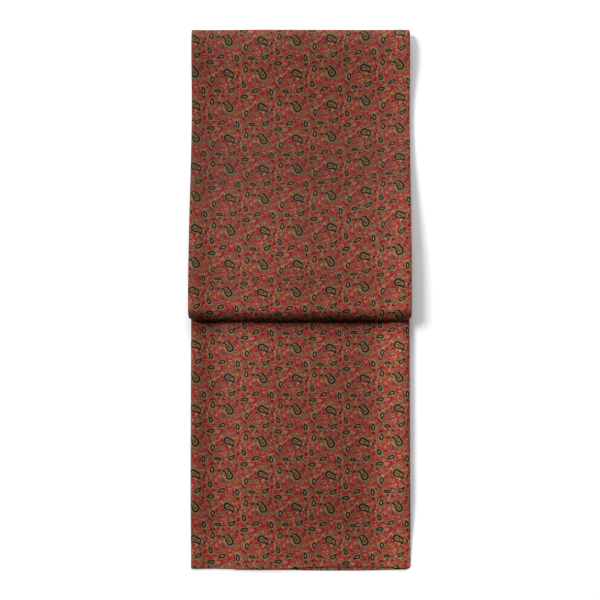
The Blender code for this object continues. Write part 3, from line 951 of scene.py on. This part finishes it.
def print_ground(n, ground, distances):
    """Red cloth with flecks of other inks; most flecks lie between and round the teardrops."""
    ruffled = n.vector("ADD", ground, n.wander(ground, RUFFLE_SCALE, 2.0, RUFFLE_REACH))
    cloud = n.math("MULTIPLY", n.between(distances["large"], 3.7, 0.9),
                   n.between(n.noise(ground, CLOUD_SCALE, 2.0), 0.30, 0.52))
    colour = n.mix(n.between(n.noise(ground, RED_SCALE, 1.0), 0.35, 0.65), DEEP_RED, BRIGHT_RED)
    colour = n.mix(n.math("MULTIPLY", cloud, CLOUD_SHARE), colour, CLOUD_INK)

    fleck_size, fleck_pick = n.cells(ruffled, FLECK_SCALE)
    inks = n.pick(n.parts(fleck_pick)[0], FLECK_INKS)
    cluster = n.between(n.noise(ground, CLUSTER_SCALE, 0.0), 0.44, 0.60)
    by_drop = n.between(n.math("MINIMUM", distances["tan"], distances["green"]), 1.9, 0.6)
    cover = n.math("MAXIMUM", n.math("MULTIPLY", cloud, 0.8),
                   n.math("MAXIMUM", n.math("MULTIPLY", cluster, 0.55), by_drop))
    limit = n.math("ADD", FLECK_LIMIT[0], n.math("MULTIPLY", cover, FLECK_LIMIT[1]))
    fleck = n.math("SUBTRACT", 1.0, n.between(n.math("SUBTRACT", fleck_size, limit), -0.06, 0.06))
    colour = n.mix(n.math("MULTIPLY", fleck, PRINT_SHARE), colour, inks)

    small_size, small_pick = n.cells(n.vector("ADD", ruffled, (17.3, 40.9, 0.0)), SMALL_SCALE)
    small_inks = n.pick(n.parts(small_pick)[1], SMALL_INKS)
    small = n.math("SUBTRACT", 1.0, n.between(small_size, 0.26, 0.38))
    share = n.math("ADD", SMALL_SHARE[0], n.math("MULTIPLY", cover, SMALL_SHARE[1]))
    return n.mix(n.math("MULTIPLY", small, share), colour, small_inks)


def scarf_print(n, point):
    """Colour of the printed cloth at a point of the print."""
    repeat = repeat_group()
    distances = drop_distances(n, point, repeat)

    # the ground repeats too; its seams run along waves, where they can't be seen
    wave = n.wander(point, WAVE_SCALE, 1.0, WAVE_REACH)
    ground = n.vector("SUBTRACT", n.group(repeat, Point=n.vector("ADD", point, wave),
                                          Centre=(0.0, 0.0, 0.0))["Local"], wave)
    colour = print_ground(n, ground, distances)

    for kind, ink in SPOT_INKS.items():
        spots = []
        for spot in SPOTS:
            if spot.colour == kind:
                local = n.group(repeat, Point=point, Centre=(spot.x, spot.y, 0.0))["Local"]
                spots.append(n.math("SUBTRACT", n.vector("LENGTH", local, output=1), spot.radius))
        colour = n.mix(n.between(n.least(spots), 0.25, -0.25), colour, ink)

    # pale rim, dark outline and coloured core of each teardrop
    core_large = n.pick(n.parts(n.cells(ground, CORE_SCALE)[1])[0], CORE_INKS)
    core_large = n.mix(n.between(distances["large"], -1.5, -2.3), core_large, HEART_INK)
    for kind, outline in OUTLINES.items():
        distance = distances[kind]
        rim = n.math("MULTIPLY", n.band(distance, 0.35, 0.5, 0.1), RIM_SHARE)
        colour = n.mix(rim, colour, RIM_INK)
        colour = n.mix(n.between(distance, 0.05, -0.25), colour, outline.core or core_large)
        line = n.band(distance, outline.middle, outline.half + 0.16, outline.half - 0.12)
        colour = n.mix(n.math("MULTIPLY", line, PRINT_SHARE), colour, outline.ink)
    return colour


# Pitch of the twill lines in millimetres, their slant, and the depth of the cloth's relief
TWILL_PITCH = 0.62
TWILL_SLANT = 1.3
RELIEF = 0.06 * MM


def silk_material():
    material = bpy.data.materials.new("printed_silk_twill")
    material.use_nodes = True
    tree = material.node_tree
    shader = tree.nodes["Principled BSDF"]
    n = Nodes(tree)
    uv = n.add("ShaderNodeUVMap", uv_map="print").outputs["UV"]
    point = n.scaled(uv, 1 / MM)
    # painted light and shade, kept on the points of each piece, scale the printed colour
    painted_shading_value = n.add("ShaderNodeAttribute", attribute_name="painted_shading").outputs["Fac"]

    # threads that took the dye more or less strongly
    threads = n.add("ShaderNodeMapRange")
    n.feed(threads.inputs["Value"], n.noise(point, 1.5, 1.0))
    for name, value in (("From Min", 0.25), ("From Max", 0.75), ("To Min", 0.70), ("To Max", 1.28)):
        threads.inputs[name].default_value = value
    colour = n.scaled(scarf_print(n, point), n.math("MULTIPLY", painted_shading_value, threads.outputs["Result"]))
    n.feed(shader.inputs["Base Color"], colour)
    shader.inputs["Roughness"].default_value = 0.6
    shader.inputs["Specular IOR Level"].default_value = 0.1

    # diagonal twill lines, and a finer grain over them
    x, y, _ = n.parts(point)
    slanted = n.math("ADD", x, n.math("MULTIPLY", y, TWILL_SLANT))
    lines = n.math("SINE", n.math("MULTIPLY", slanted, 2 * pi / TWILL_PITCH))
    grain = n.noise(point, 2.2, 2.0)
    height = n.math("ADD", n.math("MULTIPLY", lines, 0.5), n.math("MULTIPLY", grain, 1.4))
    bump = n.add("ShaderNodeBump")
    bump.inputs["Strength"].default_value = 0.10
    bump.inputs["Distance"].default_value = RELIEF
    n.feed(bump.inputs["Height"], height)
    n.feed(shader.inputs["Normal"], bump.outputs["Normal"])
    return material


# The pieces
WIDE_FOLDS, FINE_FOLDS = 0.28, 0.06
SOFT_ABOVE = 2.6 * MM
INNER_FLAT_STEPS = 26

silk = silk_material()


def finish_piece(piece, *nodes):
    piece.data.materials.append(silk)
    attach(piece, "root")
    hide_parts(*nodes)
    return piece


def soft_folds(point):
    """Low, wide unevenness of the laid cloth."""
    wide = noise.noise(Vector((point.x * 28, point.y * 14, 3.1)))
    fine = noise.noise(Vector((point.x * 90, point.y * 40, 7.7)))
    point.z += (WIDE_FOLDS * wide + FINE_FOLDS * fine) * MM
    return point


upper_stations = path_stations(upper_rows())
upper_cloth = finish_piece(
    mesh_piece("upper_cloth", UPPER_PAINTED_SHADING_ACROSS, UPPER_PAINTED_SHADING_ALONG,
               doubled_ply(upper_stations, upper_print(upper_stations), under_inset=0.5 * MM,
                           move=soft_folds)),
    "upper_run")

outer_pleat = path_stations(outer_pleat_rows(), left_inset=1.1 * MM, right_inset=0.6 * MM, seed=3)
inner_pleat = path_stations(inner_pleat_rows(), left_inset=1.9 * MM, right_inset=1.0 * MM, seed=8)
inner_plies = finish_piece(
    mesh_piece("inner_plies", UPPER_PAINTED_SHADING_ACROSS, UPPER_PAINTED_SHADING_ALONG,
               doubled_ply(outer_pleat, plain_print(outer_pleat), under_inset=0.5 * MM,
                           flat_steps=INNER_FLAT_STEPS),
               doubled_ply(inner_pleat, plain_print(inner_pleat), under_inset=0.4 * MM,
                           flat_steps=INNER_FLAT_STEPS)),
    "hidden_layers")

# A doubled ply of the lower run: its upper face and height, each also at the open end, its share of
# the swell above and below, and how far its sides stand back
Run = namedtuple("Run", "level end_level height end_height lift under_lift inset")
PLY_GAP = 0.1 * MM
TOP_RUN = Run(LOWER_HEIGHT, 1.06 * MM, LOWER_HEIGHT - UNDER_HEIGHT - PLY_GAP, 0.54 * MM, 1.0, 0.12, 0.0)
UNDER_RUN = Run(UNDER_HEIGHT, 0.5 * MM, UNDER_HEIGHT, 0.5 * MM, 0.0, 0.0, UNDER_INSET)
OPEN_END = -HALF_LENGTH + 0.2 * MM

# Places along the hem of the open end, in millimetres from it, and where the even steps start
HEM_PLACES = [0.0, 0.2, 0.45, 0.75, 1.05, 1.3, 1.7]
EVEN_FROM = 3 * MM


def lower_stations(run):
    stations = []
    ys = [OPEN_END + place * MM for place in HEM_PLACES]
    ys += steps_between(OPEN_END + EVEN_FROM, TAIL_END, ROW_STEP) + [TAIL_END]
    for y in ys:
        sunk = 1 - ease((y - OPEN_END) / LOWER_END_REACH)
        left, right = value_at(LOWER_REACH, y, 1) - run.inset, value_at(LOWER_REACH, y, 2) - run.inset
        stations.append(Station(y, run.level + (run.end_level - run.level) * sunk, 0.0, 1.0, left, right,
                                run.height + (run.end_height - run.height) * sunk,
                                run.lift * (1 + (LOWER_END_LIFT - 1) * sunk), run.under_lift, 0.0,
                                LOWER_SWELL))
    return stations


def stop_short(column, soften=False):
    """Shorten the open end, by a different amount at each place across, and soften its high part."""
    def move(point):
        share = 1 - ease((point.y + HALF_LENGTH) / LOWER_END_REACH)
        point.y += value_at(ENDS, point.x, column) * share
        return soft_folds(point) if soften and point.z > SOFT_ABOVE else point
    return move


top_stations = lower_stations(TOP_RUN)
lower_cloth_top = finish_piece(
    mesh_piece("lower_cloth_top", LOWER_PAINTED_SHADING_ACROSS, LOWER_PAINTED_SHADING_ALONG,
               doubled_ply(top_stations, lower_print(top_stations), under_inset=0.7 * MM,
                           move=stop_short(1, soften=True), hem_first=True)),
    "lower_run_top")
under_stations = lower_stations(UNDER_RUN)
lower_cloth_under = finish_piece(
    mesh_piece("lower_cloth_under", LOWER_PAINTED_SHADING_ACROSS, LOWER_PAINTED_SHADING_ALONG,
               doubled_ply(under_stations, lower_print(under_stations, UNDER_SHIFT),
                           under_inset=0.5 * MM, move=stop_short(2), hem_first=True)),
    "lower_run_under")


# The studio
FLOOR_HALF = 6.0
FLOOR_WHITE = (0.86, 0.86, 0.86, 1)

# Round soft lights that face the middle; turn 0 is the left side, 90 the top edge
Lamp = namedtuple("Lamp", "name turn elevation distance size power")
LAMPS = [
    Lamp("key", 37, 41.3, 7.0, 2.72, 522.0),
    Lamp("top", 92, 32, 7.0, 4.36, 525.0),
]
SKY_STRENGTH = 0.05

CAMERA_PLACE = (-0.05 * MM, 0.65 * MM, 0.727)
VIEW_WIDTH = 0.4126
SENSOR = 36.0


def add_floor():
    mesh = bpy.data.meshes.new("floor")
    half = FLOOR_HALF
    mesh.from_pydata([(-half, -half, 0), (half, -half, 0), (half, half, 0), (-half, half, 0)], [],
                     [(0, 1, 2, 3)])
    piece = bpy.data.objects.new("floor", mesh)
    bpy.context.scene.collection.objects.link(piece)
    material = bpy.data.materials.new("white_paper")
    material.use_nodes = True
    shader = material.node_tree.nodes["Principled BSDF"]
    shader.inputs["Base Color"].default_value = FLOOR_WHITE
    shader.inputs["Roughness"].default_value = 0.9
    shader.inputs["Specular IOR Level"].default_value = 0.0
    mesh.materials.append(material)


def add_lamp(lamp):
    turn, elevation = radians(lamp.turn), radians(lamp.elevation)
    place = (-lamp.distance * cos(elevation) * cos(turn), lamp.distance * cos(elevation) * sin(turn),
             lamp.distance * sin(elevation))
    light = bpy.data.lights.new(lamp.name, "AREA")
    light.shape = "DISK"
    light.size = lamp.size
    light.energy = lamp.power
    holder = bpy.data.objects.new(lamp.name, light)
    holder.location = place
    holder.rotation_mode = "QUATERNION"
    holder.rotation_quaternion = (-Vector(place)).to_track_quat("-Z", "Y")
    bpy.context.scene.collection.objects.link(holder)


add_floor()
for lamp in LAMPS:
    add_lamp(lamp)

world = bpy.data.worlds.new("studio")
world.use_nodes = True
world.node_tree.nodes["Background"].inputs["Color"].default_value = (1, 1, 1, 1)
world.node_tree.nodes["Background"].inputs["Strength"].default_value = SKY_STRENGTH
bpy.context.scene.world = world

camera = bpy.data.cameras.new("camera")
camera.sensor_width = SENSOR
camera.lens = SENSOR / 2 / (VIEW_WIDTH / 2 / CAMERA_PLACE[2])
viewer = bpy.data.objects.new("camera", camera)
viewer.location = CAMERA_PLACE
bpy.context.scene.collection.objects.link(viewer)
bpy.context.scene.camera = viewer
bpy.context.scene.view_settings.view_transform = "Standard"
